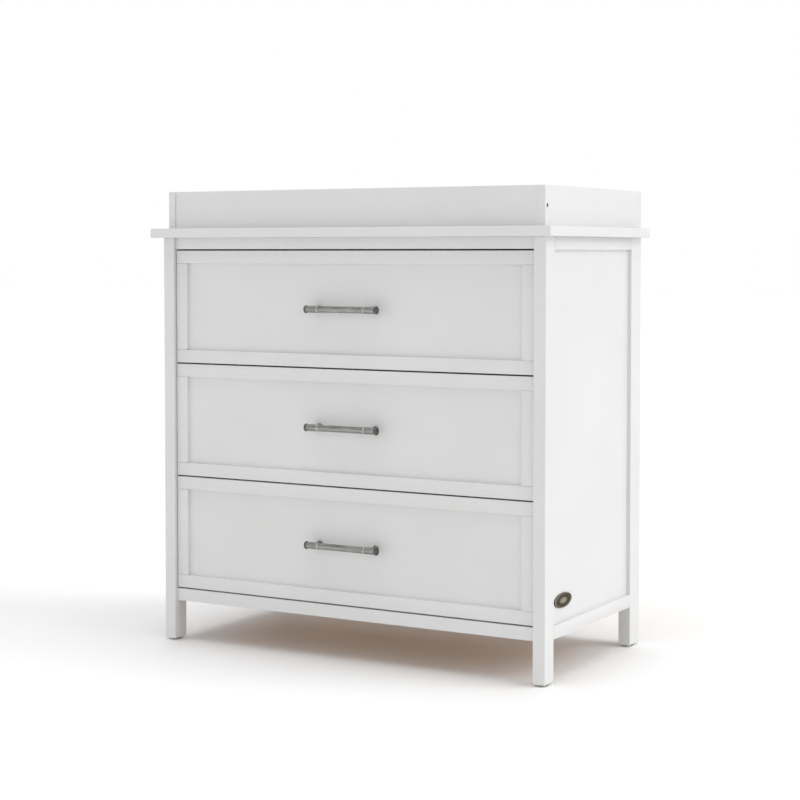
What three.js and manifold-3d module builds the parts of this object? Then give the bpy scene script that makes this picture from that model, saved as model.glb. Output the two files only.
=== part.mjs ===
// Changing table: a three-drawer dresser on four legs, with a lift-off changing tray on its top board.
// Millimetres, +Z up. The origin is on the floor, under the middle of the whole object.
// The drawer fronts face -Y. Left and right are those of a person facing the drawers.
import * as THREE from 'three';
import { mergeVertices } from 'three/addons/utils/BufferGeometryUtils.js';
import Module from 'manifold-3d';

const wasm = await Module();
wasm.setup();

// ---------------------------------------------------------------- driving dimensions

const GAP = 0.3;            // clearance of a piece that sits in a groove or a hole

const BODY_HALF_W = 432;    // to the outer faces of the legs
const BODY_FRONT = -222;    // front faces of the legs
const BODY_REAR = 227;      // rear faces of the legs
const BODY_TOP = 828;       // under the top board
const SETBACK = 7.5;        // rails and drawer fronts sit this far behind the legs' front faces

const LEG_W = 25;
const FRONT_LEG_D = 38;
const REAR_LEG_D = 49;
const LEG_CHAMFER = 2;      // round the foot of each leg
const FOOT_H = 3;
const FOOT_R = 9;

const RAIL_BOTTOM = 82.5;   // underside of the cabinet above the floor
const BOTTOM_RAIL_H = 25;
const TOP_RAIL_H = 23;      // at the front
const SIDE_TOP_RAIL_H = 24.5;
const FRONT_RAIL_D = 22;
const SIDE_RAIL_W = 24;
const REAR_RAIL_D = 18;
const BACK_RAIL_H = 48;

const GROOVE = 6;           // how far a panel runs into the frame round it
const SIDE_PANEL_IN = 7.5;  // recess of the side panels
const SIDE_PANEL_T = 10.5;
const BACK_PANEL_T = 4;

const TOP_HALF_W = 451;
const TOP_FRONT = -242;
const TOP_T = 19;

const FRONT_H = 228.5;      // one drawer front
const FRONT_GAP = 3;        // above, below and between the drawer fronts
const FRONT_HALF_W = 405.5;
const FRONT_T = 18;
const FRONT_BORDER = 26;    // width of the rails and stiles of a drawer front
const PANEL_IN = 6.5;       // recess of a drawer's panel
const PANEL_T = 8;
const SCRIBE = 0.6;         // width and depth of the joint lines between rails and stiles

const BOX_HALF_W = 394.25;  // drawer box
const BOX_REAR = 200;
const BOX_T = 12;
const BOX_LOW = 8;          // above the lower edge of the drawer front
const BOX_HIGH = 208;
const BOTTOM_LOW = 18;
const BOTTOM_T = 6;

const SLIDE_MID = 114;      // middle of the slides above the lower edge of the drawer front
const SLIDE_H = 45;
const SLIDE_IN = 9.5;       // depth of the cabinet's half of a slide
const SLIDE_FRONT = -195;
const SLIDE_REAR = 203;
const RUNNER_H = 38;        // the drawer's half, which nests in the cabinet's half
const RUNNER_OUT = 404.5;
const STEEL_T = 1.5;

const PULL_HALF_L = 82.25;
const PULL_R = 6.4;
const PULL_AXIS = -232;     // the bar's axis, in front of the drawer
const POST_X = 64;          // half the screw spacing
const SCREW_R = 2;
const SCREW_HEAD_R = 3.75;
const SCREW_HEAD_T = 2.5;

const TRAY_HALF_W = 425.5;
const TRAY_T = 15;
const TRAY_H = 75;
const TRAY_SIDE_FRONT = -212;
const TRAY_FRONT = -209.5;
const TRAY_HOOK = 60;       // how far the tray's back board hangs down behind the top board
const TRAY_SCREW_Y = -202;
const TRAY_SCREW_Z = 884.5;
const TRAY_SCREW_L = 44;

const BADGE_Y = -130;
const BADGE_Z = 147;
const BADGE_HALF_L = 38;
const BADGE_HALF_H = 14;
const BADGE_T = 2.5;

const TOP_Z = BODY_TOP + TOP_T;
const LEG_IN = BODY_HALF_W - LEG_W;
const FRONT_PLANE = BODY_FRONT + SETBACK;
const SIDE_PANEL_OUT = BODY_HALF_W - SIDE_PANEL_IN;
const FRONT_LEG_BACK = BODY_FRONT + FRONT_LEG_D;
const REAR_LEG_FRONT = BODY_REAR - REAR_LEG_D;

// ---------------------------------------------------------------- materials

const finish = (color, roughness, metalness) => ({ color, roughness, metalness });
const PAINT = finish(0xf1f0ec, 0.42, 0);
const RAW_BOARD = finish(0xcdb694, 0.75, 0);
const STEEL = finish(0xb9bcc0, 0.35, 0.9);
const PEWTER = finish(0x6f6c66, 0.34, 0.95);
const BRONZE = finish(0x6b5d45, 0.4, 0.9);
const NYLON = finish(0x4b3f35, 0.6, 0);

// ---------------------------------------------------------------- shapes

/** A box between two corners, given in any order. */
function block(a, b) {
  const low = a.map((value, i) => Math.min(value, b[i]));
  const high = a.map((value, i) => Math.max(value, b[i]));
  const box = new THREE.BoxGeometry(high[0] - low[0], high[1] - low[1], high[2] - low[2]);
  box.translate((low[0] + high[0]) / 2, (low[1] + high[1]) / 2, (low[2] + high[2]) / 2);
  return box;
}

/** A turned shape along +Z from [radius, height] pairs; the profile starts and ends on the axis. */
function turned(profile, segments = 24) {
  const lathe = new THREE.LatheGeometry(profile.map(([r, z]) => new THREE.Vector2(r, z)), segments);
  return lathe.rotateX(Math.PI / 2);
}

/** The geometry with shared corners merged and collapsed triangles left out. */
function welded(geometry) {
  const plain = geometry.clone();
  plain.deleteAttribute('normal');
  plain.deleteAttribute('uv');
  const merged = mergeVertices(plain, 1e-3);
  const corners = merged.index.array;
  const kept = [];
  for (let i = 0; i < corners.length; i += 3) {
    const [a, b, c] = [corners[i], corners[i + 1], corners[i + 2]];
    if (a !== b && b !== c && c !== a) kept.push(a, b, c);
  }
  merged.setIndex(kept);
  return merged;
}

function toSolid(geometry) {
  const shape = welded(geometry);
  const vertProperties = new Float32Array(shape.attributes.position.array);
  const triVerts = new Uint32Array(shape.index.array);
  return new wasm.Manifold(new wasm.Mesh({ numProp: 3, vertProperties, triVerts }));
}

function toGeometry(solid) {
  const { vertProperties, triVerts } = solid.getMesh();
  const geometry = new THREE.BufferGeometry();
  geometry.setAttribute('position', new THREE.BufferAttribute(new Float32Array(vertProperties), 3));
  geometry.setIndex(new THREE.BufferAttribute(new Uint32Array(triVerts), 1));
  return geometry;
}

function joined(first, ...others) {
  return toGeometry(others.reduce((whole, shape) => whole.add(toSolid(shape)), toSolid(first)));
}

function cut(body, ...tools) {
  return toGeometry(tools.reduce((whole, tool) => whole.subtract(toSolid(tool)), toSolid(body)));
}

function piece(name, geometry, { color, roughness, metalness }) {
  const shape = welded(geometry);
  shape.computeVertexNormals();
  const mesh = new THREE.Mesh(shape, new THREE.MeshStandardMaterial({ color, roughness, metalness }));
  mesh.name = name;
  return mesh;
}

// ---------------------------------------------------------------- cabinet

/** The space that a side panel takes in the frame round it; side is -1 for left and 1 for right. */
function sidePanelSpace(side, play) {
  const inner = SIDE_PANEL_OUT - SIDE_PANEL_T;
  return block(
    [side * (inner - play), FRONT_LEG_BACK - GROOVE, RAIL_BOTTOM + BOTTOM_RAIL_H - GROOVE],
    [side * (SIDE_PANEL_OUT + play), REAR_LEG_FRONT + GROOVE, BODY_TOP - SIDE_TOP_RAIL_H + GROOVE],
  );
}

/** A leg: a square-edged post with its foot chamfered all round and a groove for the side panel. */
function leg(side, front, back) {
  const width = LEG_W / 2;
  const depth = (back - front) / 2;
  const outline = new THREE.Shape();
  outline.moveTo(-width, -depth).lineTo(width, -depth).lineTo(width, depth).lineTo(-width, depth);
  const post = new THREE.ExtrudeGeometry(outline, {
    depth: BODY_TOP - FOOT_H - LEG_CHAMFER,
    bevelEnabled: false,
  });
  post.translate(0, 0, FOOT_H + LEG_CHAMFER);
  const foot = new THREE.CylinderGeometry(1, 1, LEG_CHAMFER, 4, 1);
  foot.rotateX(Math.PI / 2).rotateZ(Math.PI / 4).scale(Math.SQRT2, Math.SQRT2, 1);
  const corners = foot.attributes.position;
  for (let i = 0; i < corners.count; i += 1) {
    const inset = corners.getZ(i) < 0 ? LEG_CHAMFER : 0;
    corners.setX(i, Math.sign(Math.round(corners.getX(i))) * (width - inset));
    corners.setY(i, Math.sign(Math.round(corners.getY(i))) * (depth - inset));
  }
  foot.translate(0, 0, FOOT_H + LEG_CHAMFER / 2);
  const whole = joined(post, foot);
  whole.translate(side * (BODY_HALF_W - width), front + depth, 0);
  return cut(whole, sidePanelSpace(side, GAP));
}

function glide(side, front, back) {
  const disc = turned([[0, 0], [FOOT_R - 1, 0], [FOOT_R, 1], [FOOT_R, FOOT_H], [0, FOOT_H]]);
  return disc.translate(side * (BODY_HALF_W - LEG_W / 2), (front + back) / 2, 0);
}

function sideRail(side, low, high) {
  const rail = block(
    [side * (BODY_HALF_W - SIDE_RAIL_W), FRONT_LEG_BACK, low],
    [side * BODY_HALF_W, REAR_LEG_FRONT, high],
  );
  return cut(rail, sidePanelSpace(side, GAP));
}

/** The side panel, a little smaller than the grooves that hold it. */
function sidePanel(side) {
  const inner = SIDE_PANEL_OUT - SIDE_PANEL_T;
  return block(
    [side * inner, FRONT_LEG_BACK - GROOVE + GAP, RAIL_BOTTOM + BOTTOM_RAIL_H - GROOVE + GAP],
    [side * SIDE_PANEL_OUT, REAR_LEG_FRONT + GROOVE - GAP, BODY_TOP - SIDE_TOP_RAIL_H + GROOVE - GAP],
  );
}

/** The cabinet's half of a drawer slide: a steel channel that opens towards the drawer. */
function cabinetSlide(side, middle) {
  const [low, high] = [middle - SLIDE_H / 2, middle + SLIDE_H / 2];
  const channel = block([side * (LEG_IN - SLIDE_IN), SLIDE_FRONT, low], [side * LEG_IN, SLIDE_REAR, high]);
  const hollow = block(
    [side * (LEG_IN - SLIDE_IN - 1), SLIDE_FRONT - 1, low + STEEL_T],
    [side * (LEG_IN - STEEL_T), SLIDE_REAR + 1, high - STEEL_T],
  );
  return cut(channel, hollow);
}

/** An oval plate with a raised rim and a raised oval in the middle, on the right side panel. */
function badge() {
  const rings = [[1, 0], [1, 0.7], [0.95, 1], [0.84, 1], [0.8, 0.6], [0.52, 0.6], [0.46, 0.9]];
  const profile = [[0, 0], ...rings, [0, 0.9]].map(([r, height]) => [r, height * BADGE_T]);
  const plate = turned(profile, 40);
  plate.scale(BADGE_HALF_L, BADGE_HALF_H, 1);
  plate.rotateX(Math.PI / 2).rotateZ(Math.PI / 2);
  return plate.translate(SIDE_PANEL_OUT + GAP, BADGE_Y, BADGE_Z);
}

function cabinet() {
  const group = new THREE.Group();
  const add = (name, geometry, look = PAINT) => group.add(piece(name, geometry, look));
  for (const [end, front, back] of [
    ['front', BODY_FRONT, FRONT_LEG_BACK],
    ['rear', REAR_LEG_FRONT, BODY_REAR],
  ]) {
    for (const [hand, side] of [['left', -1], ['right', 1]]) {
      add(`${end}_${hand}_leg`, leg(side, front, back));
      add(`${end}_${hand}_foot`, glide(side, front, back), NYLON);
    }
  }
  for (const [hand, side] of [['left', -1], ['right', 1]]) {
    add(`${hand}_side_top_rail`, sideRail(side, BODY_TOP - SIDE_TOP_RAIL_H, BODY_TOP));
    add(`${hand}_side_bottom_rail`, sideRail(side, RAIL_BOTTOM, RAIL_BOTTOM + BOTTOM_RAIL_H));
    add(`${hand}_side_panel`, sidePanel(side));
  }
  const across = (front, back, low, high) => block([-LEG_IN, front, low], [LEG_IN, back, high]);
  const frontRailBack = FRONT_PLANE + FRONT_RAIL_D;
  const panelFront = BODY_REAR - BACK_PANEL_T;
  const backRailFront = panelFront - REAR_RAIL_D;
  add('front_top_rail', across(FRONT_PLANE, frontRailBack, BODY_TOP - TOP_RAIL_H, BODY_TOP));
  add('front_bottom_rail', across(FRONT_PLANE, frontRailBack, RAIL_BOTTOM, RAIL_BOTTOM + BOTTOM_RAIL_H));
  add('rear_top_rail', across(backRailFront, panelFront, BODY_TOP - BACK_RAIL_H, BODY_TOP));
  add('rear_bottom_rail', across(backRailFront, panelFront, RAIL_BOTTOM, RAIL_BOTTOM + BACK_RAIL_H));
  add('back_panel', across(panelFront, BODY_REAR, RAIL_BOTTOM, BODY_TOP), RAW_BOARD);
  add('top_board', block([-TOP_HALF_W, TOP_FRONT, BODY_TOP], [TOP_HALF_W, BODY_REAR, TOP_Z]));
  add('side_badge', badge(), BRONZE);
  return group;
}

// ---------------------------------------------------------------- drawers
// A drawer's shapes are made with z = 0 at the lower edge of its front.

/** Rails and stiles of a drawer front as one ring, with scribed joints and a groove for the panel. */
function frontFrame() {
  const back = FRONT_PLANE + FRONT_T;
  const openHalf = FRONT_HALF_W - FRONT_BORDER;
  const [openLow, openHigh] = [FRONT_BORDER, FRONT_H - FRONT_BORDER];
  const ring = block([-FRONT_HALF_W, FRONT_PLANE, 0], [FRONT_HALF_W, back, FRONT_H]);
  const opening = block([-openHalf, FRONT_PLANE - 1, openLow], [openHalf, back + 1, openHigh]);
  const groove = block(
    [-openHalf - GROOVE, FRONT_PLANE + PANEL_IN - GAP, openLow - GROOVE],
    [openHalf + GROOVE, FRONT_PLANE + PANEL_IN + PANEL_T + GAP, openHigh + GROOVE],
  );
  const scribes = [];
  for (const side of [-1, 1]) {
    for (const z of [openLow, openHigh]) {
      scribes.push(block(
        [side * (openHalf - 1), FRONT_PLANE - 1, z - SCRIBE / 2],
        [side * (FRONT_HALF_W + 1), FRONT_PLANE + SCRIBE, z + SCRIBE / 2],
      ));
    }
  }
  return cut(ring, opening, groove, ...scribes);
}

function alongY(geometry, x, y, z) {
  return geometry.rotateX(-Math.PI / 2).translate(x, y, z);
}

/** The recessed panel, with two holes for the pull's screws. */
function frontPanel() {
  const halfW = FRONT_HALF_W - FRONT_BORDER + GROOVE - GAP;
  const front = FRONT_PLANE + PANEL_IN;
  const low = FRONT_BORDER - GROOVE + GAP;
  const panel = block([-halfW, front, low], [halfW, front + PANEL_T, FRONT_H - low]);
  const holes = [-POST_X, POST_X].map((x) => {
    const drill = turned([[0, -1], [SCREW_R + 0.5, -1], [SCREW_R + 0.5, PANEL_T + 1], [0, PANEL_T + 1]], 16);
    return alongY(drill, x, front, FRONT_H / 2);
  });
  return cut(panel, ...holes);
}

/** One half of a pull's outline, from the bar's middle to its end: [distance, radius] pairs. */
const PULL_OUTLINE = [
  [50.8, PULL_R], [51.4, 7], [54.2, 7], [54.8, 6.6],
  [75, 6.6], [78, 7.75], [81.3, 7.75], [PULL_HALF_L, 6.9],
];

/** A bar pull: turned bar on two posts, with the screws that hold it from inside the drawer. */
function pull() {
  const profile = [
    [0, -PULL_HALF_L],
    ...PULL_OUTLINE.toReversed().map(([distance, r]) => [r, -distance]),
    ...PULL_OUTLINE.map(([distance, r]) => [r, distance]),
    [0, PULL_HALF_L],
  ];
  const z = FRONT_H / 2;
  const bar = turned(profile).rotateY(Math.PI / 2).translate(0, PULL_AXIS, z);
  const reach = FRONT_PLANE + PANEL_IN - GAP - PULL_AXIS;
  const through = reach + GAP + PANEL_T + GAP;
  const fittings = [-POST_X, POST_X].map((x) => alongY(turned([
    [0, 0], [5, 0], [4, reach - 9], [4, reach - 4], [6.8, reach - 1.5], [6.8, reach],
    [SCREW_R, reach], [SCREW_R, through], [SCREW_HEAD_R, through],
    [SCREW_HEAD_R, through + SCREW_HEAD_T - 1], [SCREW_HEAD_R - 1, through + SCREW_HEAD_T],
    [0, through + SCREW_HEAD_T],
  ], 16), x, PULL_AXIS, z));
  return joined(bar, ...fittings);
}

function boxSide(side) {
  const front = FRONT_PLANE + FRONT_T;
  const board = block(
    [side * (BOX_HALF_W - BOX_T), front, BOX_LOW],
    [side * BOX_HALF_W, BOX_REAR, BOX_HIGH],
  );
  const groove = block(
    [side * (BOX_HALF_W - BOX_T - 1), front - 1, BOTTOM_LOW - GAP],
    [side * (BOX_HALF_W - BOX_T / 2), BOX_REAR + 1, BOTTOM_LOW + BOTTOM_T + GAP],
  );
  return cut(board, groove);
}

/** The drawer's half of a slide: a narrower steel channel that runs inside the cabinet's half. */
function runner(side) {
  const [low, high] = [SLIDE_MID - RUNNER_H / 2, SLIDE_MID + RUNNER_H / 2];
  const channel = block([side * BOX_HALF_W, SLIDE_FRONT, low], [side * RUNNER_OUT, BOX_REAR, high]);
  const hollow = block(
    [side * (BOX_HALF_W + STEEL_T), SLIDE_FRONT - 1, low + STEEL_T],
    [side * (RUNNER_OUT + 1), BOX_REAR + 1, high - STEEL_T],
  );
  return cut(channel, hollow);
}

function drawer(name, bottom) {
  const group = new THREE.Group();
  const add = (part, geometry, look) => group.add(piece(`${name}_${part}`, geometry, look));
  const front = FRONT_PLANE + FRONT_T;
  const inner = BOX_HALF_W - BOX_T;
  const floor = BOTTOM_LOW + BOTTOM_T;
  const tongue = inner + BOX_T / 2 - GAP;
  add('frame', frontFrame(), PAINT);
  add('panel', frontPanel(), PAINT);
  add('pull', pull(), PEWTER);
  add('back', block([-inner, BOX_REAR - BOX_T, floor + GAP], [inner, BOX_REAR, BOX_HIGH]), RAW_BOARD);
  add('bottom', block([-tongue, front, BOTTOM_LOW], [tongue, BOX_REAR, floor]), RAW_BOARD);
  for (const [hand, side] of [['left', -1], ['right', 1]]) {
    add(`${hand}_side`, boxSide(side), RAW_BOARD);
    add(`${hand}_runner`, runner(side), STEEL);
  }
  group.position.z = bottom;
  return group;
}

// ---------------------------------------------------------------- changing tray

/** A screw and the hole for it: a wide head, then a narrower shank that reaches the board's end. */
function trayScrew(side, play) {
  const headSink = 1.2;
  const [headR, shankR] = [3.6 + play, 2.2 + play];
  const mouth = play > 0 ? -1 : headSink;
  const headEnd = headSink + 3 + play;
  const tip = headSink + TRAY_SCREW_L + play;
  const profile = [[0, mouth], [headR, mouth], [headR, headEnd], [shankR, headEnd], [shankR, tip], [0, tip]];
  const screw = turned(profile, 16);
  screw.rotateY(side > 0 ? -Math.PI / 2 : Math.PI / 2);
  return screw.translate(side * TRAY_HALF_W, TRAY_SCREW_Y, TRAY_SCREW_Z);
}

function tray() {
  const group = new THREE.Group();
  const add = (name, geometry, look = PAINT) => group.add(piece(name, geometry, look));
  const inner = TRAY_HALF_W - TRAY_T;
  const high = TOP_Z + TRAY_H;
  const front = block([-inner, TRAY_FRONT, TOP_Z], [inner, TRAY_FRONT + TRAY_T, high]);
  add('topper_front', cut(front, trayScrew(-1, GAP), trayScrew(1, GAP)));
  add('topper_back', block(
    [-TRAY_HALF_W, BODY_REAR, TOP_Z - TRAY_HOOK],
    [TRAY_HALF_W, BODY_REAR + TRAY_T, high],
  ));
  for (const [hand, side] of [['left', -1], ['right', 1]]) {
    const board = block([side * inner, TRAY_SIDE_FRONT, TOP_Z], [side * TRAY_HALF_W, BODY_REAR, high]);
    add(`topper_${hand}`, cut(board, trayScrew(side, GAP)));
    add(`topper_${hand}_screw`, trayScrew(side, 0), PEWTER);
  }
  return group;
}

// ---------------------------------------------------------------- assembly

const table = new THREE.Group();
table.add(cabinet());
const lowestFront = RAIL_BOTTOM + BOTTOM_RAIL_H + FRONT_GAP;
['drawer_bottom', 'drawer_middle', 'drawer_top'].forEach((name, row) => {
  const bottom = lowestFront + row * (FRONT_H + FRONT_GAP);
  table.add(drawer(name, bottom));
  for (const [hand, side] of [['left', -1], ['right', 1]]) {
    table.add(piece(`${name}_${hand}_slide`, cabinetSlide(side, bottom + SLIDE_MID), STEEL));
  }
});
table.add(tray());

export default table;
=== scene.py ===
"""The looks of a white changing table: painted boards, turned pulls, wooden drawers and steel slides."""
import math

import bmesh
import bpy
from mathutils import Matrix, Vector


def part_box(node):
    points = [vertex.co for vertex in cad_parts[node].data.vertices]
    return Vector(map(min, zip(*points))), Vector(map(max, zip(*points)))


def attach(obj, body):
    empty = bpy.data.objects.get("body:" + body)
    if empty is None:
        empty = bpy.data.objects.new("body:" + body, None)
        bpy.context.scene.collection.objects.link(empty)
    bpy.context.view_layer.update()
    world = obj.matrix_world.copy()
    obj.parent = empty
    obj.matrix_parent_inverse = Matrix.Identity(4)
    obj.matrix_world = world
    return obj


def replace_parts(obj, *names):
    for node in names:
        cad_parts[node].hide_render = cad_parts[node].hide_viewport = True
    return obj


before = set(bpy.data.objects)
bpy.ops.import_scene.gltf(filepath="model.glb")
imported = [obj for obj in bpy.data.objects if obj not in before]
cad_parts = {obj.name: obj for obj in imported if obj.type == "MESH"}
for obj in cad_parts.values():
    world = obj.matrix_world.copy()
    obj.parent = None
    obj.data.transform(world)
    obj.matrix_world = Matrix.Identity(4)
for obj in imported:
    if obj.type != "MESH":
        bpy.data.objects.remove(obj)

bpy.context.view_layer.update()

MM = 0.001
DRAWERS = ("drawer_top", "drawer_middle", "drawer_bottom")
SIDES = (("left", -1), ("right", 1))    # each with the sign of its x
X, Y, Z = Vector((1, 0, 0)), Vector((0, 1, 0)), Vector((0, 0, 1))


# ---------------------------------------------------------------- camera, light and floor

CAMERA_PLACE = (1.8671, -3.2563, 0.7982)
CAMERA_TURN = 29.846        # degrees to the right of straight on
CAMERA_DIP = 2.3            # degrees below level
CAMERA_LENS = 82.84
CAMERA_SHIFT = -0.0919

SUNS = (                    # name, degrees round to the right, height, strength, softness in degrees
    ("key", 104, 36, 1.1, 42),
    ("overhead", 0, 88, 1.5, 60),
)
SKY_LOW = 1.0               # strength near the horizon
SKY_LOW_Z = 0.25            # the z of a direction of length 1, up to which the sky is that strong
SKY_TOP = 0.15              # strength straight above
SENSOR = 36
FLOOR_SIZE = 60


def add_camera():
    data = bpy.data.cameras.new("camera")
    data.lens = CAMERA_LENS
    data.sensor_width = SENSOR
    data.shift_y = CAMERA_SHIFT
    data.dof.use_dof = False
    camera = bpy.data.objects.new("camera", data)
    camera.location = CAMERA_PLACE
    camera.rotation_euler = (math.radians(90 - CAMERA_DIP), 0, math.radians(CAMERA_TURN))
    bpy.context.scene.collection.objects.link(camera)
    bpy.context.scene.camera = camera


def add_light():
    world = bpy.data.worlds.new("studio")
    world.use_nodes = True
    nodes, links = world.node_tree.nodes, world.node_tree.links
    split = nodes.new("ShaderNodeSeparateXYZ")
    links.new(nodes.new("ShaderNodeTexCoord").outputs["Generated"], split.inputs["Vector"])
    fall = nodes.new("ShaderNodeMapRange")
    fall.inputs["From Min"].default_value = SKY_LOW_Z
    fall.inputs["To Min"].default_value = SKY_LOW
    fall.inputs["To Max"].default_value = SKY_TOP
    links.new(split.outputs["Z"], fall.inputs["Value"])
    background = nodes["Background"]
    background.inputs["Color"].default_value = (1, 1, 1, 1)
    links.new(fall.outputs["Result"], background.inputs["Strength"])
    bpy.context.scene.world = world
    for name, turn, height, strength, softness in SUNS:
        data = bpy.data.lights.new(name, "SUN")
        data.energy = strength
        data.angle = math.radians(softness)
        sun = bpy.data.objects.new(name, data)
        sun.rotation_euler = (math.radians(90 - height), 0, math.radians(turn))
        bpy.context.scene.collection.objects.link(sun)


# ---------------------------------------------------------------- materials

class Shader:
    """A Principled material with short ways to add the nodes that drive it."""

    def __init__(self, name, **sockets):
        self.material = bpy.data.materials.new(name)
        self.material.use_nodes = True
        self.tree = self.material.node_tree
        self.principled = self.tree.nodes["Principled BSDF"]
        for socket, value in sockets.items():
            self.principled.inputs[socket.replace("_", " ")].default_value = value
        self.coordinates = self.node("ShaderNodeTexCoord").outputs["Object"]

    def node(self, kind, **settings):
        made = self.tree.nodes.new(kind)
        for key, value in settings.items():
            setattr(made, key, value)
        return made

    def link(self, source, target):
        self.tree.links.new(source, target)

    def noise(self, scale, stretch=(1, 1, 1), detail=3.0, roughness=0.55, offset=(0, 0, 0)):
        """Noise with scale features a metre; stretch gives each axis its own share of that."""
        mapping = self.node("ShaderNodeMapping")
        mapping.inputs["Scale"].default_value = [scale * share for share in stretch]
        mapping.inputs["Location"].default_value = offset
        self.link(self.coordinates, mapping.inputs["Vector"])
        noise = self.node("ShaderNodeTexNoise")
        noise.inputs["Scale"].default_value = 1
        noise.inputs["Detail"].default_value = detail
        noise.inputs["Roughness"].default_value = roughness
        self.link(mapping.outputs["Vector"], noise.inputs["Vector"])
        return noise.outputs["Fac"]

    def ramp(self, source, *stops):
        """Colour by value: stops are (position, (r, g, b))."""
        ramp = self.node("ShaderNodeValToRGB")
        elements = ramp.color_ramp.elements
        for _ in stops[2:]:
            elements.new(0.5)
        for element, (position, colour) in zip(elements, stops):
            element.position = position
            element.color = (*colour, 1)
        self.link(source, ramp.inputs["Fac"])
        return ramp.outputs["Color"]

    def spread(self, source, low, high, start=0.3, end=0.7):
        """The value moved from the range start to end, to the range low to high."""
        change = self.node("ShaderNodeMapRange")
        change.inputs["From Min"].default_value = start
        change.inputs["From Max"].default_value = end
        change.inputs["To Min"].default_value = low
        change.inputs["To Max"].default_value = high
        self.link(source, change.inputs["Value"])
        return change.outputs["Result"]

    def blend(self, share, first, second, mode="MIX"):
        mix = self.node("ShaderNodeMix", data_type="RGBA", blend_type=mode)
        if isinstance(share, float):
            mix.inputs["Factor"].default_value = share
        else:
            self.link(share, mix.inputs["Factor"])
        self.link(first, mix.inputs["A"])
        self.link(second, mix.inputs["B"])
        return mix.outputs["Result"]

    def bump(self, height, depth, strength=1.0, base=None):
        """A bump of that depth in metres over another one."""
        bump = self.node("ShaderNodeBump")
        bump.inputs["Strength"].default_value = strength
        bump.inputs["Distance"].default_value = depth
        self.link(height, bump.inputs["Height"])
        if base is not None:
            self.link(base, bump.inputs["Normal"])
        return bump.outputs["Normal"]

    def finish(self, colour, roughness, normal):
        self.link(colour, self.principled.inputs["Base Color"])
        self.link(roughness, self.principled.inputs["Roughness"])
        self.link(normal, self.principled.inputs["Normal"])
        return self.material


def along(axis, grain, across):
    """The stretch of a grain that runs along axis 0, 1 or 2."""
    return tuple(grain if i == axis else across for i in range(3))


def paint(axis):
    """Sprayed satin paint on a board whose grain runs along an axis and shows through faintly."""
    s = Shader("white_paint_" + "xyz"[axis])
    cloud = s.noise(5, detail=2)
    colour = s.ramp(cloud, (0.3, (0.679, 0.678, 0.674)), (0.7, (0.702, 0.701, 0.698)))
    patches = s.noise(38, along(axis, 0.35, 1))
    roughness = s.spread(patches, 0.36, 0.5)
    grain = s.noise(420, along(axis, 0.02, 1), detail=4)
    peel = s.noise(650, detail=2, offset=(3, 1, 2))
    normal = s.bump(grain, 0.00005)
    normal = s.bump(peel, 0.00006, base=normal)
    return s.finish(colour, roughness, normal)


def bare_wood(name, axis, light, dark):
    """Planed, lacquered board: long streaks of grain, finer pores and slow changes of tone."""
    s = Shader(name + "_" + "xyz"[axis])
    streaks = s.noise(60, along(axis, 0.035, 1), detail=6, roughness=0.6)
    base = s.ramp(streaks, (0.32, dark), (0.5, light), (0.72, tuple(c * 1.12 for c in light)))
    tone = s.noise(4.5, along(axis, 0.4, 1), detail=2, offset=(2, 5, 1))
    tones = s.ramp(tone, (0.3, (0.86, 0.84, 0.8)), (0.7, (1.0, 1.0, 1.0)))
    colour = s.blend(1.0, base, tones, "MULTIPLY")
    pores = s.noise(900, along(axis, 0.03, 1), detail=3)
    marks = s.ramp(pores, (0.28, (0.72, 0.66, 0.6)), (0.4, (1.0, 1.0, 1.0)))
    colour = s.blend(0.6, colour, marks, "MULTIPLY")
    roughness = s.spread(streaks, 0.62, 0.5)
    normal = s.bump(streaks, 0.00012)
    normal = s.bump(pores, 0.00008, base=normal)
    return s.finish(colour, roughness, normal)


def fibreboard(name, dark, light):
    """Thin brown hardboard: fine fibres in every direction, with a slight sheen."""
    s = Shader(name)
    fibres = s.noise(700, (1, 1, 0.25), detail=5)
    specks = s.noise(160, detail=3, offset=(4, 2, 7))
    base = s.ramp(fibres, (0.3, dark), (0.7, light))
    shade = s.ramp(specks, (0.3, (0.8, 0.78, 0.75)), (0.65, (1.0, 1.0, 1.0)))
    colour = s.blend(1.0, base, shade, "MULTIPLY")
    return s.finish(colour, s.spread(specks, 0.5, 0.66), s.bump(fibres, 0.0001))


def turned_metal(name, shades):
    """Streaky pewter plate with light and shade painted into its colour along x; shades are (distance from
    the object's middle in 0.1 m, share of the light painted there).
    """
    s = Shader(name, Metallic=1.0)
    split = s.node("ShaderNodeSeparateXYZ")
    s.link(s.coordinates, split.inputs["Vector"])
    along_bar = s.node("ShaderNodeMath", operation="ABSOLUTE")
    s.link(split.outputs["X"], along_bar.inputs[0])
    distance = s.spread(along_bar.outputs["Value"], 0.0, 1.0, 0.0, 0.1)
    # painted light and shade: the colour is brightened or darkened by distance along the pull, as light
    # fell on its parts
    painted_shading = s.ramp(distance, *((place, (shade, shade, shade)) for place, shade in shades))
    streaks = s.noise(260, (0.12, 1, 1), detail=4)
    metal = s.ramp(streaks, (0.32, (0.36, 0.352, 0.335)), (0.68, (0.6, 0.592, 0.575)))
    colour = s.blend(1.0, metal, painted_shading, "MULTIPLY")
    rings = s.noise(5200, (1, 0.02, 0.02), detail=2)
    return s.finish(colour, s.spread(streaks, 0.22, 0.36), s.bump(rings, 0.00002))


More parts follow.
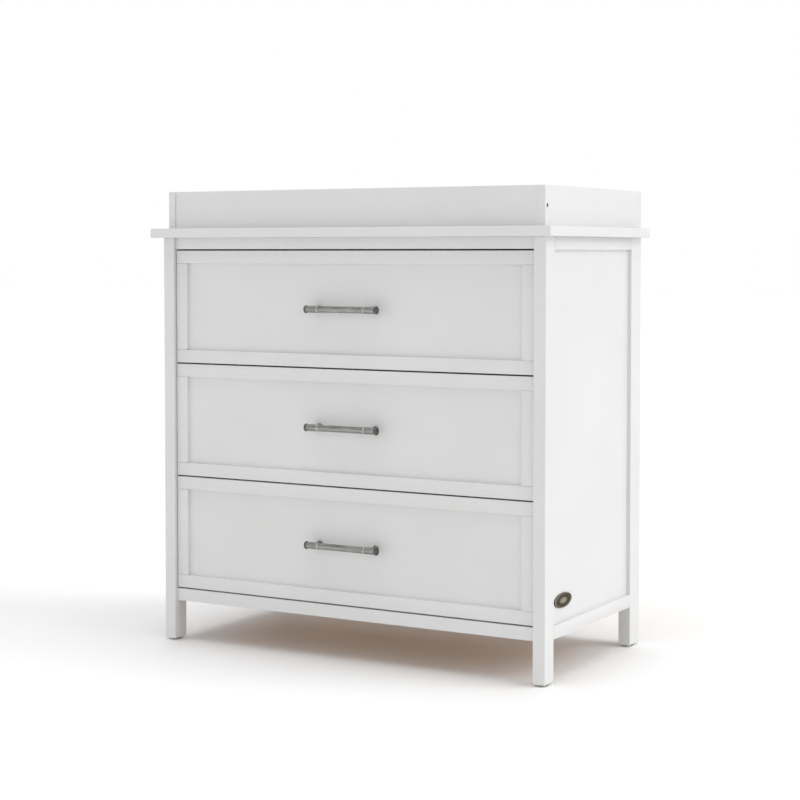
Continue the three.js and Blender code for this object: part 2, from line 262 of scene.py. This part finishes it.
def aged_bronze(low, high):
    """Bronze that is dark in its hollows and rubbed bright on what stands out, between two values of x."""
    s = Shader("aged_bronze", Metallic=1.0)
    split = s.node("ShaderNodeSeparateXYZ")
    s.link(s.coordinates, split.inputs["Vector"])
    cloud = s.noise(260, detail=4)
    height = s.spread(split.outputs["X"], 0.0, 0.8, low, high)
    mottled = s.node("ShaderNodeMath", operation="MULTIPLY_ADD")
    s.link(cloud, mottled.inputs[0])
    mottled.inputs[1].default_value = 0.3
    s.link(height, mottled.inputs[2])
    colour = s.ramp(
        mottled.outputs["Value"],
        (0.3, (0.035, 0.029, 0.02)), (0.6, (0.14, 0.119, 0.085)), (0.98, (0.35, 0.305, 0.225)),
    )
    roughness = s.spread(cloud, 0.34, 0.52)
    return s.finish(colour, roughness, s.bump(cloud, 0.00008))


def plated_steel():
    """Rolled, zinc-plated strip: fine drawn lines along the slide and a faint spangle."""
    s = Shader("plated_steel", Metallic=1.0)
    lines = s.noise(1500, (1, 0.01, 1), detail=3)
    spangle = s.noise(120, (1, 0.6, 1), detail=2)
    colour = s.ramp(spangle, (0.3, (0.5, 0.51, 0.53)), (0.7, (0.64, 0.65, 0.66)))
    return s.finish(colour, s.spread(spangle, 0.26, 0.4), s.bump(lines, 0.00004))


def black_steel():
    s = Shader("black_steel", Metallic=0.85)
    cloud = s.noise(500, detail=4)
    colour = s.ramp(cloud, (0.3, (0.05, 0.048, 0.045)), (0.7, (0.11, 0.106, 0.1)))
    return s.finish(colour, s.spread(cloud, 0.3, 0.5), s.bump(cloud, 0.00005))


def moulded_nylon():
    s = Shader("dark_nylon")
    grain = s.noise(1600, detail=3)
    colour = s.ramp(grain, (0.3, (0.035, 0.027, 0.02)), (0.7, (0.06, 0.047, 0.036)))
    return s.finish(colour, s.spread(grain, 0.42, 0.6), s.bump(grain, 0.00008))


def floor_paint():
    s = Shader("studio_floor")
    cloud = s.noise(1.2, detail=3)
    colour = s.ramp(cloud, (0.3, (0.9, 0.9, 0.9)), (0.7, (0.915, 0.915, 0.915)))
    grain = s.noise(300, detail=2)
    return s.finish(colour, s.spread(grain, 0.62, 0.7), s.bump(grain, 0.00005))


PAINT = [paint(axis) for axis in range(3)]
PINE = [bare_wood("pine", axis, (0.56, 0.42, 0.26), (0.38, 0.25, 0.13)) for axis in range(3)]
HARDBOARD = fibreboard("hardboard", (0.34, 0.195, 0.095), (0.48, 0.3, 0.16))
WARM_BOARD = fibreboard("warm_hardboard", (0.52, 0.27, 0.1), (0.7, 0.41, 0.17))
# painted shading along the pull: collars painted brighter as a highlight, sleeves a little darker and the
# caps much darker as painted shade
PEWTER = turned_metal(
    "pewter", ((0.505, 0.65), (0.512, 1.0), (0.544, 1.0), (0.552, 0.6), (0.755, 0.62), (0.775, 0.26)),
)
# the same pewter darkened all over as painted shade, for the pull's posts
SHADED_PEWTER = turned_metal("pewter_painted_shade", ((0.0, 0.3), (1.0, 0.3)))
PLATED = plated_steel()
BLACK = black_steel()
NYLON = moulded_nylon()


# ---------------------------------------------------------------- shapes

SHARP = 30                  # an edge that turns by more degrees than this is rounded
WELD = 0.01 * MM            # a CAD node's corners within this of each other are one
EDGE_TOP = 1.6 * MM         # how far edges are rounded: the top board's,
EDGE_LEG = 1.0 * MM         # the legs' and the tray's,
EDGE_RAIL = 0.6 * MM        # the rails', stiles' and drawer boards',
EDGE_SLIDE = 0.4 * MM       # the slides',
EDGE_PANEL = 0.3 * MM       # and the panels' and feet's


def new_piece(name, shape, material, body, smooth_below=40):
    """A piece from a bmesh in the frame's own place, riding on a body."""
    bmesh.ops.recalc_face_normals(shape, faces=shape.faces)
    mesh = bpy.data.meshes.new(name)
    shape.to_mesh(mesh)
    shape.free()
    mesh.shade_smooth()
    mesh.set_sharp_from_angle(angle=math.radians(smooth_below))
    mesh.materials.append(material)
    piece = bpy.data.objects.new(name, mesh)
    bpy.context.scene.collection.objects.link(piece)
    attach(piece, body)
    return piece


def add_prism(shape, outline, across, up, start, end):
    """A closed outline of (across, up) pairs, pushed from start to end, two points on the third axis."""
    ends = [[shape.verts.new(base + across * u + up * v) for u, v in outline] for base in (start, end)]
    shape.faces.new(ends[0])
    shape.faces.new(ends[1])
    for i in range(len(outline)):
        j = (i + 1) % len(outline)
        shape.faces.new((ends[0][i], ends[0][j], ends[1][j], ends[1][i]))


def add_box(shape, low, high):
    outline = [(low.x, low.y), (high.x, low.y), (high.x, high.y), (low.x, high.y)]
    add_prism(shape, outline, X, Y, Z * low.z, Z * high.z)


def soften(shape, width):
    """Rounds every sharp edge."""
    bmesh.ops.recalc_face_normals(shape, faces=shape.faces)
    edges = [e for e in shape.edges if e.calc_face_angle(0) > math.radians(SHARP)]
    bmesh.ops.bevel(
        shape, geom=edges, offset=width, segments=2,
        profile=0.5, affect="EDGES", clamp_overlap=True,
    )


def around(axis):
    """A function from a turn round an axis to the direction that points away from the axis there."""
    side = axis.orthogonal().normalized()
    other = axis.cross(side)
    return lambda turn: side * math.cos(turn) + other * math.sin(turn)


def close_rings(shape, rings):
    """Joins rings of equally many points, each to the next, and closes both ends."""
    count = len(rings[0])
    for one, two in zip(rings, rings[1:]):
        for i in range(count):
            j = (i + 1) % count
            shape.faces.new((one[i], one[j], two[j], two[i]))
    shape.faces.new(rings[0])
    shape.faces.new(rings[-1])


def add_turned(shape, profile, origin, axis, segments=48, cut=None):
    """A solid of revolution round an axis, from (distance along it, radius) pairs; its ends are closed.
    cut, where given, says how much a distance and a turn take off the radius."""
    outward = around(axis)
    rings = []
    for distance, radius in profile:
        ring = []
        for i in range(segments):
            turn = math.tau * i / segments
            reach = radius - (cut(distance, turn) if cut else 0)
            ring.append(shape.verts.new(origin + axis * distance + outward(turn) * reach))
        rings.append(ring)
    close_rings(shape, rings)


def add_screw(shape, centre, axis, radius, height, socket=0.45, segments=24):
    """A domed screw head with a hexagon socket, which is socket times as wide as the head; axis points out
    of the surface that the head sits on."""
    outward = around(axis)

    def ring(reach, lift, corners=0):
        made = []
        for i in range(segments):
            turn = math.tau * i / segments
            r = reach
            if corners:
                wedge = math.tau / corners
                r = reach * math.cos(wedge / 2) / math.cos(turn % wedge - wedge / 2)
            made.append(shape.verts.new(centre + axis * lift + outward(turn) * r))
        return made

    close_rings(shape, [
        ring(radius, 0), ring(radius, height * 0.35), ring(radius * 0.9, height * 0.75),
        ring(radius * 0.7, height),
        ring(radius * socket, height, 6), ring(radius * socket, height * 0.3, 6),
    ])


def dress(node, material, edge, segments=3):
    """Gives a CAD node its material and rounds its edges by that many metres."""
    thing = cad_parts[node]
    thing.data.materials.clear()
    thing.data.materials.append(material)
    weld = thing.modifiers.new("weld", "WELD")
    weld.merge_threshold = WELD
    bevel = thing.modifiers.new("edges", "BEVEL")
    bevel.width = edge
    bevel.segments = segments
    bevel.limit_method = "ANGLE"
    bevel.angle_limit = math.radians(SHARP)
    bevel.use_clamp_overlap = True
    bevel.harden_normals = False


# ---------------------------------------------------------------- cabinet

BEAD = 0.9 * MM             # paint in the corners round the panels
BEAD_TUCK = 0.2 * MM        # how far that paint runs into what it joins
GROOVE_D = 6.0 * MM         # how far a panel runs into the frame round it
RAIL_PLAY = 0.45 * MM       # between a side's rail and the leg at each end
BACK_SCREWS = 9             # in each row
BACK_SCREW_IN = 9 * MM      # from the back panel's edges
BACK_SCREW_CLEAR = 3.6 * MM     # below the tray's back board, which hangs over the panel
BACK_SCREW = (3.2 * MM, 1.6 * MM)       # a screw head's radius and height
BADGE_STEPS = 260           # points round the badge
BADGE_BEADS = 52
BADGE_RIBS = 26
BEAD_LIFT, RIB_LIFT = 0.34, 0.3         # shares of the badge's height
BEAD_BAND = (0.76, 0.88)    # where the beads lie, in shares of the badge's size
BEAD_RING = (0.82, 0.05)    # the middle of their ring, and half its width
RIB_BAND = (0.48, 0.7)


def dress_cabinet():
    for end in ("front", "rear"):
        for hand, _ in SIDES:
            dress(f"{end}_{hand}_leg", PAINT[2], EDGE_LEG)
            dress(f"{end}_{hand}_foot", NYLON, EDGE_PANEL, 2)
        dress(f"{end}_top_rail", PAINT[0], EDGE_RAIL)
        dress(f"{end}_bottom_rail", PAINT[0], EDGE_RAIL)
    for hand, _ in SIDES:
        dress(f"{hand}_side_panel", PAINT[2], EDGE_PANEL, 2)
    dress("back_panel", HARDBOARD, EDGE_PANEL, 2)
    dress("top_board", PAINT[0], EDGE_TOP, 4)


def add_side_rails():
    """Grooved rails of the sides, a hair short of the legs so that the joints show as fine lines."""
    for hand, side in SIDES:
        panel = [abs(corner.x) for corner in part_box(f"{hand}_side_panel")]
        for level, up in (("bottom", Z), ("top", -Z)):
            node = f"{hand}_side_{level}_rail"
            low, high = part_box(node)
            inner, outer = sorted((abs(low.x), abs(high.x)))
            height = high.z - low.z
            near, far = min(panel) - inner, max(panel) - inner
            section = [
                (0, 0), (outer - inner, 0), (outer - inner, height), (far, height),
                (far, height - GROOVE_D), (near, height - GROOVE_D), (near, height), (0, height),
            ]
            base = Vector((side * inner, 0, low.z if level == "bottom" else high.z))
            start = base + Y * (low.y + RAIL_PLAY)
            end = base + Y * (high.y - RAIL_PLAY)
            shape = bmesh.new()
            add_prism(shape, section, X * side, up, start, end)
            soften(shape, EDGE_RAIL)
            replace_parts(new_piece(f"{node}_board", shape, PAINT[1], "cabinet"), node)


def add_beads(name, body, out, face, way, low, high):
    """Paint in the corners between a panel and the frame round it. The panel's outside lies at face along
    the axis out; low and high are the opening's corners, as (distance along the axis way, z) pairs."""
    outline = [(-BEAD_TUCK, -BEAD_TUCK), (BEAD, -BEAD_TUCK), (-BEAD_TUCK, BEAD)]
    shape = bmesh.new()
    for inward, start, end in (
        (Z, low, (high[0], low[1])), (-Z, (low[0], high[1]), high),
        (way, low, (low[0], high[1])), (-way, (high[0], low[1]), high),
    ):
        start, end = (out * face + way * place + Z * z for place, z in (start, end))
        add_prism(shape, outline, out, inward, start, end)
    new_piece(name, shape, PAINT[2], body)


def add_side_beads():
    for hand, side in SIDES:
        face = max(abs(corner.x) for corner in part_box(f"{hand}_side_panel"))
        low = (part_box(f"front_{hand}_leg")[1].y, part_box(f"{hand}_side_bottom_rail")[1].z)
        high = (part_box(f"rear_{hand}_leg")[0].y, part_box(f"{hand}_side_top_rail")[0].z)
        add_beads(f"{hand}_side_paint_beads", "cabinet", X * side, face, Y, low, high)


def even(low, high, count):
    """That many values from low to high."""
    return [low + (high - low) * i / (count - 1) for i in range(count)]


def add_back_screws():
    """Small screws along the back panel's lower edge, and in a row just clear of the tray's back board."""
    low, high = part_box("back_panel")
    shape = bmesh.new()
    for z in (low.z + BACK_SCREW_IN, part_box("topper_back")[0].z - BACK_SCREW_CLEAR):
        for x in even(low.x + BACK_SCREW_IN, high.x - BACK_SCREW_IN, BACK_SCREWS):
            add_screw(shape, Vector((x, high.y, z)), Y, *BACK_SCREW)
    new_piece("back_panel_screws", shape, BLACK, "cabinet")


def add_badge():
    """An oval plate with a rounded rim, a ring of beads, a ribbed field and a raised oval in the middle."""
    low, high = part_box("side_badge")
    centre = (low + high) / 2
    half_l, half_h = (high.y - low.y) / 2, (high.z - low.z) / 2
    base, height = low.x, high.x - low.x
    bead_middle, bead_half = BEAD_RING
    outline = [             # (share of the badge's size, share of its height) from the rim to the middle
        (1.0, 0.0), (1.0, 0.55), (0.985, 0.8), (0.955, 0.97), (0.92, 0.97), (0.895, 0.78), (0.88, 0.5),
        (0.85, 0.56), (0.82, 0.58), (0.79, 0.56), (0.76, 0.5), (0.745, 0.62), (0.725, 0.68), (0.705, 0.62),
        (0.69, 0.36), (0.6, 0.34), (0.5, 0.36), (0.47, 0.55), (0.44, 0.7), (0.36, 0.84), (0.24, 0.93),
        (0.12, 0.98), (0.03, 1.0),
    ]
    shape = bmesh.new()
    rings = []
    for share, lift in outline:
        ring = []
        for i in range(BADGE_STEPS):
            turn = math.tau * i / BADGE_STEPS
            raised = 0.0
            if BEAD_BAND[0] < share < BEAD_BAND[1]:
                swell = max(0.0, 1 - ((share - bead_middle) / bead_half) ** 2)
                raised = BEAD_LIFT * swell * abs(math.sin(turn * BADGE_BEADS / 2)) ** 0.7
            if RIB_BAND[0] < share < RIB_BAND[1]:
                raised = RIB_LIFT * abs(math.sin(turn * BADGE_RIBS / 2))
            ring.append(shape.verts.new((
                base + height * min(1.0, lift + raised),
                centre.y + half_l * share * math.cos(turn),
                centre.z + half_h * share * math.sin(turn),
            )))
        rings.append(ring)
    close_rings(shape, rings)
    material = aged_bronze(base + height * 0.4, high.x)
    badge = new_piece("oval_badge", shape, material, "cabinet", 60)
    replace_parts(badge, "side_badge")


# ---------------------------------------------------------------- drawers

BORDER = 26 * MM            # width of a front's rails and stiles
LIP = 6.5 * MM              # in front of the groove that holds the panel
GROOVE_W = 8.3 * MM
TENON_SHORT = 0.3 * MM      # between a stile's tenon and the end of a rail's groove
TENON_PLAY = 0.2 * MM       # between that tenon and the groove's walls
JOINT = 0.25 * MM           # the crack between a rail and a stile
POST_X = 64 * MM            # from the middle of a pull
POST_R = 4.6 * MM           # at the bar
WAIST_R = 4.0 * MM          # the posts' thinnest
BAR_R = 6.4 * MM
COLLAR_R = 7.0 * MM
SLEEVE_R = 6.7 * MM
NECK_R = 6.0 * MM           # in the grooves beside collars and sleeves
KNURL_START = 55.8 * MM     # from the middle of a pull
KNURL_END = 74.8 * MM
KNURL_RINGS = 31
KNURL_GROOVES = 16          # each way round
KNURL_PITCH = 2.6 * MM
KNURL_DEPTH = 0.55 * MM
PULL_SCREW = (4.2 * MM, 2.4 * MM)       # a head's radius and height
CAM = (7.2 * MM, 0.7 * MM)
CAM_IN = 30 * MM            # from a drawer's front
CAM_UP = 45 * MM            # from the lower or upper edge of its side
SIDE_SCREW = (3.4 * MM, 1.2 * MM)
SIDE_SCREW_IN = 6 * MM      # from the rear end of a drawer's side
SIDE_SCREW_LOW = 30 * MM    # from the side's lower edge
SIDE_SCREW_HIGH = 35 * MM   # and the other from its upper edge
RUNNER_SCREW = (3.6 * MM, 1.8 * MM)
RUNNER_SCREW_IN = 35 * MM   # from a runner's ends
RUNNER_SCREW_MID = 190 * MM     # the middle one, from its front
RUNNER_T = 1.5 * MM         # thickness of its steel


def add_front(drawer):
    """Rails that run the full width, and stiles between them whose tenons fill the rails' grooves."""
    low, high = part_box(drawer + "_frame")
    depth = high.y - low.y
    section = [
        (0, 0), (depth, 0), (depth, BORDER), (LIP + GROOVE_W, BORDER),
        (LIP + GROOVE_W, BORDER - GROOVE_D), (LIP, BORDER - GROOVE_D), (LIP, BORDER), (0, BORDER),
    ]
    made = []
    for name, z, up in (("bottom_rail", low.z, Z), ("top_rail", high.z, -Z)):
        shape = bmesh.new()
        start = Vector((low.x, low.y, z))
        add_prism(shape, section, Y, up, start, start + X * (high.x - low.x))
        soften(shape, EDGE_RAIL)
        made.append(new_piece(f"{drawer}_{name}", shape, PAINT[0], drawer))
    reach = GROOVE_D - TENON_SHORT
    for hand, side in SIDES:
        shape = bmesh.new()
        edge = low.x if side < 0 else high.x
        start = Vector((edge, low.y, low.z + BORDER + JOINT))
        end = Vector((edge, low.y, high.z - BORDER - JOINT))
        add_prism(shape, section, Y, X * -side, start, end)
        soften(shape, EDGE_RAIL)
        inner = edge - side * (BORDER - GROOVE_D)
        for z0, z1 in ((start.z - reach, start.z + MM), (end.z - MM, end.z + reach)):
            corners = [edge - side * TENON_PLAY, inner]
            add_box(
                shape,
                Vector((min(corners), low.y + LIP + TENON_PLAY, z0)),
                Vector((max(corners), low.y + LIP + GROOVE_W - TENON_PLAY, z1)),
            )
        made.append(new_piece(f"{drawer}_{hand}_stile", shape, PAINT[2], drawer))
    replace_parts(made[0], drawer + "_frame")
    face = -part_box(drawer + "_panel")[0].y
    opening = [(low.x + BORDER, low.z + BORDER), (high.x - BORDER, high.z - BORDER)]
    add_beads(drawer + "_paint_beads", drawer, -Y, face, X, *opening)


def knurl(distance, turn):
    """How deep the crossed grooves of a pull's sleeves are."""
    along_bar = abs(distance)
    if not KNURL_START <= along_bar <= KNURL_END:
        return 0
    lap = turn * KNURL_GROOVES / 2
    slant = math.pi * (along_bar - KNURL_START) / KNURL_PITCH
    return KNURL_DEPTH * (1 - min(abs(math.sin(lap + slant)), abs(math.sin(lap - slant))))


def add_pull(drawer):
    """A turned bar with collars, knurled sleeves and flared caps, on two posts with screws from inside."""
    low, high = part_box(drawer + "_pull")
    z = (low.z + high.z) / 2
    half = high.x
    cap_r = (high.z - low.z) / 2
    axis_y = low.y + cap_r
    collar = [
        (50.4 * MM, BAR_R), (50.6 * MM, NECK_R), (50.9 * MM, NECK_R), (51.2 * MM, SLEEVE_R),
        (51.7 * MM, COLLAR_R), (53.9 * MM, COLLAR_R), (54.4 * MM, SLEEVE_R),
        (54.7 * MM, NECK_R), (55.4 * MM, NECK_R),
    ]
    sleeve = [(place, SLEEVE_R) for place in even(KNURL_START, KNURL_END, KNURL_RINGS)]
    cap = [
        (75.2 * MM, NECK_R), (half - 6.6 * MM, NECK_R), (half - 6.2 * MM, 6.4 * MM),
        (half - 5.2 * MM, 6.8 * MM), (half - 4.3 * MM, 7.5 * MM), (half - 3.6 * MM, cap_r),
        (half - 1.8 * MM, cap_r), (half - 0.9 * MM, 7.4 * MM), (half - 0.4 * MM, 6.6 * MM),
        (half, 5.6 * MM),
    ]
    profile = collar + sleeve + cap
    whole = [(-d, r) for d, r in reversed(profile)] + profile
    shape = bmesh.new()
    add_turned(shape, whole, Vector((0, axis_y, z)), X, 64, knurl)
    bar = new_piece(drawer + "_pull_bar", shape, PEWTER, drawer, 50)
    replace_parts(bar, drawer + "_pull")
    panel_front, panel_back = (corner.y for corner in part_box(drawer + "_panel"))
    reach = panel_front - axis_y
    post = [
        (0, POST_R), (5.2 * MM, POST_R), (6.4 * MM, WAIST_R), (reach - 5.2 * MM, WAIST_R),
        (reach - 3.4 * MM, 4.5 * MM), (reach - 2.2 * MM, 5.8 * MM), (reach - 1.5 * MM, 6.8 * MM),
        (reach - 0.4 * MM, 7.0 * MM), (reach, 6.9 * MM),
    ]
    for hand, side in SIDES:
        shape = bmesh.new()
        x = side * POST_X
        add_turned(shape, post, Vector((x, axis_y, z)), Y, 48)
        # the posts' pewter has shade painted into its colour
        new_piece(f"{drawer}_pull_{hand}_post", shape, SHADED_PEWTER, drawer, 50)
        shape = bmesh.new()
        add_screw(shape, Vector((x, panel_back, z)), Y, *PULL_SCREW)
        new_piece(f"{drawer}_pull_{hand}_screw", shape, PLATED, drawer)


def dress_drawer(drawer):
    dress(drawer + "_panel", PAINT[0], EDGE_PANEL, 2)
    dress(drawer + "_back", PINE[0], EDGE_RAIL, 2)
    dress(drawer + "_bottom", WARM_BOARD, EDGE_PANEL, 2)
    for hand, _ in SIDES:
        dress(f"{drawer}_{hand}_side", PINE[1], EDGE_RAIL, 2)
        dress(f"{drawer}_{hand}_runner", PLATED, EDGE_SLIDE, 2)
        dress(f"{drawer}_{hand}_slide", PLATED, EDGE_SLIDE, 2)


def add_drawer_fixings(drawer):
    """Cam fittings inside the drawer's sides, screws through them into the back, and runners' screws."""
    inside = bmesh.new()
    outside = bmesh.new()
    runner = bmesh.new()
    for hand, side in SIDES:
        low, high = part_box(f"{drawer}_{hand}_side")
        inner, outer = (high.x, low.x) if side < 0 else (low.x, high.x)
        for z in (low.z + CAM_UP, high.z - CAM_UP):
            add_screw(inside, Vector((inner, low.y + CAM_IN, z)), X * -side, *CAM, 0.4, 36)
        for z in (low.z + SIDE_SCREW_LOW, high.z - SIDE_SCREW_HIGH):
            add_screw(outside, Vector((outer, high.y - SIDE_SCREW_IN, z)), X * side, *SIDE_SCREW)
        low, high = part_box(f"{drawer}_{hand}_runner")
        face = (high.x if side < 0 else low.x) + side * RUNNER_T
        middle = (low.z + high.z) / 2
        for y in (low.y + RUNNER_SCREW_IN, low.y + RUNNER_SCREW_MID, high.y - RUNNER_SCREW_IN):
            add_screw(runner, Vector((face, y, middle)), X * side, *RUNNER_SCREW)
    new_piece(drawer + "_cam_fittings", inside, PLATED, drawer)
    new_piece(drawer + "_back_screws", outside, BLACK, drawer)
    new_piece(drawer + "_runner_screws", runner, BLACK, drawer)


# ---------------------------------------------------------------- changing tray

DOME = 2 * MM               # height of the heads that stand for the tray's two side screws
TRAY_SCREW = (3.8 * MM, 0.9 * MM)
TRAY_SCREW_IN = 7.5 * MM    # from the ends of the tray's back board
TRAY_SCREWS_DOWN = (18 * MM, 57 * MM)   # from its upper edge


def dress_tray():
    dress("topper_front", PAINT[0], EDGE_LEG)
    dress("topper_back", PAINT[0], EDGE_LEG)
    for hand, side in SIDES:
        dress(f"topper_{hand}", PAINT[1], EDGE_LEG)
        low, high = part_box(f"topper_{hand}_screw")
        head = high.x if side > 0 else low.x
        centre = Vector((head - side * DOME, (low.y + high.y) / 2, (low.z + high.z) / 2))
        shape = bmesh.new()
        add_screw(shape, centre, X * side, (high.z - low.z) / 2, DOME)
        screw = new_piece(f"topper_{hand}_screw_head", shape, BLACK, "topper")
        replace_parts(screw, f"topper_{hand}_screw")


def add_tray_back_screws():
    """Screws through the tray's back board into its side boards."""
    low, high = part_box("topper_back")
    shape = bmesh.new()
    for x in (low.x + TRAY_SCREW_IN, high.x - TRAY_SCREW_IN):
        for down in TRAY_SCREWS_DOWN:
            add_screw(shape, Vector((x, high.y, high.z - down)), Y, *TRAY_SCREW)
    new_piece("topper_back_screws", shape, BLACK, "topper")


# ---------------------------------------------------------------- scene

def add_floor():
    shape = bmesh.new()
    half = FLOOR_SIZE / 2
    corners = ((-half, -half), (half, -half), (half, half), (-half, half))
    shape.faces.new([shape.verts.new((x, y, 0)) for x, y in corners])
    mesh = bpy.data.meshes.new("floor")
    shape.to_mesh(mesh)
    shape.free()
    mesh.materials.append(floor_paint())
    floor = bpy.data.objects.new("floor", mesh)
    bpy.context.scene.collection.objects.link(floor)


bpy.context.scene.view_settings.view_transform = "Standard"
add_camera()
add_light()
add_floor()
dress_cabinet()
add_side_rails()
add_side_beads()
add_back_screws()
add_badge()
for drawer in DRAWERS:
    add_front(drawer)
    add_pull(drawer)
    dress_drawer(drawer)
    add_drawer_fixings(drawer)
dress_tray()
add_tray_back_screws()

bpy.context.view_layer.update()
